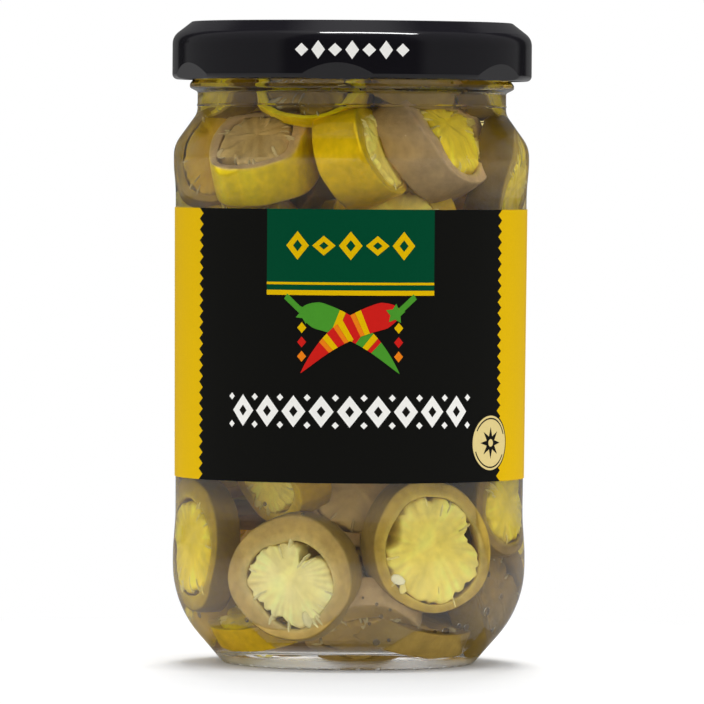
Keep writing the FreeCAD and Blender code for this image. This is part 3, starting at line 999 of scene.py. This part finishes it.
# What shows straight through glass: a backdrop low down, dimmer in front than behind
BACKDROP_LOW = [(2, 1.0), (12, 0.0)]
BACKDROP_BEHIND = [(90, 0.0), (110, 1.0)]
BACKDROP_FRONT_LEVEL = 0.4
# Level of the studio as light that comes in through the glass, and its share that reflections show
STUDIO_THROUGH = 2.3
STUDIO_GLOSS = 0.2
# Soft boxes: place in metres, width, depth, power and whether gloss mirrors them. The first draws the bright
# line along the lid's slope, the second the shadow in front of the foot.
SOFT_BOXES = [((0.085, -0.085, 0.78), 0.45, 0.1, 2.6, True), ((0.0, 0.5, 0.85), 0.3, 0.3, 9.0, False)]


def grey(level):
    """Grey of a level, linear."""
    return (level, level, level)


def after_matt(tree, rays):
    """One for a ray that has left a matt surface, else zero."""
    return maths(tree, "GREATER_THAN", rays.outputs["Diffuse Depth"], 0.5)


def make_floor():
    """Paper under the object: lit near the foot, plain white to the camera further out."""
    corners = [(-1, -1, 0), (1, -1, 0), (1, 1, 0), (-1, 1, 0)]
    floor = new_object("floor", np.array(corners) * FLOOR_HALF, [(0, 1, 2, 3)], smooth=False)
    made, tree, shader = material("floor", grey(0.8), 0.9, Specular_IOR_Level=0.0)
    rays = tree.nodes.new("ShaderNodeLightPath")
    place = tree.nodes.new("ShaderNodeTexCoord")
    length = tree.nodes.new("ShaderNodeVectorMath")
    length.operation = "LENGTH"
    tree.links.new(place.outputs["Object"], length.inputs[0])
    away = length.outputs["Value"]
    paper = curve(tree, away, PAPER, 0, 1)
    paper = mix(tree, rays.outputs["Is Glossy Ray"], paper, grey(PAPER_GLOSSY))
    through = mix(tree, after_matt(tree, rays), grey(PAPER_THROUGH), grey(PAPER_LIGHT))
    paper = mix(tree, rays.outputs["Is Transmission Ray"], paper, through)
    white = curve(tree, away, PAPER_WHITE, 0, 1)
    seen = mix(tree, white, grey(PAPER_SEEN), grey(0.0))
    seen = mix(tree, rays.outputs["Is Camera Ray"], paper, seen)
    tree.links.new(seen, shader.inputs["Base Color"])
    # Painted light: near the foot the paper glows to rays through glass, so the base shows white paper in
    # place of the shadow under it.
    under = curve(tree, away, PAPER_UNDER, 0, 1)
    own = mix(tree, rays.outputs["Is Transmission Ray"], grey(0.0), under)
    own = mix(tree, rays.outputs["Is Camera Ray"], own, white)
    tree.links.new(own, shader.inputs["Emission Color"])
    shader.inputs["Emission Strength"].default_value = 1.0
    floor.data.materials.append(made)


def make_world():
    """White behind the object; round it a studio: dark in front, panels at the sides, light above.

    Reflections show the studio dimmer. Light that reaches the slices through the glass comes from all round.
    """
    world = bpy.data.worlds.new("world")
    bpy.context.scene.world = world
    world.use_nodes = True
    tree = world.node_tree
    rays = tree.nodes.new("ShaderNodeLightPath")
    x, y, z = axes(tree, "Generated")
    turn = maths(tree, "ARCTAN2", maths(tree, "ABSOLUTE", x), maths(tree, "MULTIPLY", y, -1.0))
    azimuth = maths(tree, "MULTIPLY", turn, 180 / pi)
    elevation = maths(tree, "MULTIPLY", maths(tree, "ARCSINE", z), 180 / pi)
    sides = curve(tree, azimuth, STUDIO_SIDES, 0, 180)
    rise = curve(tree, elevation, STUDIO_RISE, -90, 90)
    studio = mix(tree, rise, sides, grey(STUDIO_TOP))
    glint = curve(tree, elevation, STUDIO_GLINT, -90, 90)
    mirrored = scaled(tree, mix(tree, glint, sides, grey(STUDIO_TOP)), STUDIO_GLOSS)
    low = curve(tree, elevation, BACKDROP_LOW, -90, 90)
    behind = curve(tree, azimuth, BACKDROP_BEHIND, 0, 180)
    level = mix(tree, behind, grey(BACKDROP_FRONT_LEVEL), grey(1.0))
    backdrop = mix(tree, low, mirrored, level)
    through = mix(tree, after_matt(tree, rays), backdrop, grey(STUDIO_THROUGH))
    shown = mix(tree, rays.outputs["Is Glossy Ray"], studio, mirrored)
    shown = mix(tree, rays.outputs["Is Transmission Ray"], shown, through)
    shown = mix(tree, rays.outputs["Is Camera Ray"], shown, grey(1.0))
    tree.links.new(shown, tree.nodes["Background"].inputs["Color"])


def make_lamps():
    """The soft boxes, each tilted about X to face the middle of the floor."""
    for i, (place, width, depth, power, mirrored) in enumerate(SOFT_BOXES):
        data = bpy.data.lights.new(f"soft_box_{i}", "AREA")
        data.shape = "RECTANGLE"
        data.size, data.size_y = width, depth
        data.energy = power
        lamp = linked(f"soft_box_{i}", data)
        lamp.location = place
        lamp.rotation_euler = (-atan2(place[1], place[2]), 0, 0)
        lamp.visible_glossy = mirrored


CAMERA_DISTANCE = 1481.0
CAMERA_HEIGHT = 94.8
LOOK_AT_HEIGHT = 57.5
LOOK_AT_SIDE = 0.35
CAMERA_ROLL = radians(0.40)
LENS = 409.0


def make_camera():
    """Long lens from the front, a little raised."""
    data = bpy.data.cameras.new("camera")
    data.lens = LENS
    data.sensor_width = 36.0
    data.clip_end = 50.0
    camera = linked("camera", data)
    place = Vector((LOOK_AT_SIDE, -CAMERA_DISTANCE, CAMERA_HEIGHT)) * MM
    target = Vector((LOOK_AT_SIDE, 0, LOOK_AT_HEIGHT)) * MM
    turn = (target - place).to_track_quat("-Z", "Y").to_matrix().to_4x4()
    camera.matrix_world = Matrix.Translation(place) @ turn @ Matrix.Rotation(CAMERA_ROLL, 4, "Z")
    bpy.context.scene.camera = camera


# ---- The whole ----
OUTLINE_MIDDLE = 55.0  # the brine's outline is read round this height on the axis
REACH = 0.2  # of the fill into the glass, so that no air gap shows
BRINE_SEGMENTS = 160

nodes["jar"].data.materials[0] = glass_material()
nodes["lid"].data.materials[0] = lacquer_material()
nodes["label"].data.materials[0] = label_material()

outline = turned_outline("brine", OUTLINE_MIDDLE)
fill = outline + (REACH, 0)
fill[[0, -1], 0] = 0
fill[0, 1] -= REACH
brine = lathe("brine_fill", fill, BRINE_SEGMENTS)
brine.data.materials.append(brine_material())
make_peppers(outline)
make_bubbles(outline)
make_label_print()
make_lid_print()
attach(brine, "root")
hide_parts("brine")

make_floor()
make_world()
make_lamps()
make_camera()
bpy.context.scene.view_settings.view_transform = "Standard"
cycles = bpy.context.scene.cycles
cycles.max_bounces = 24
cycles.transmission_bounces = 24
cycles.diffuse_bounces = 8

bpy.context.view_layer.update()
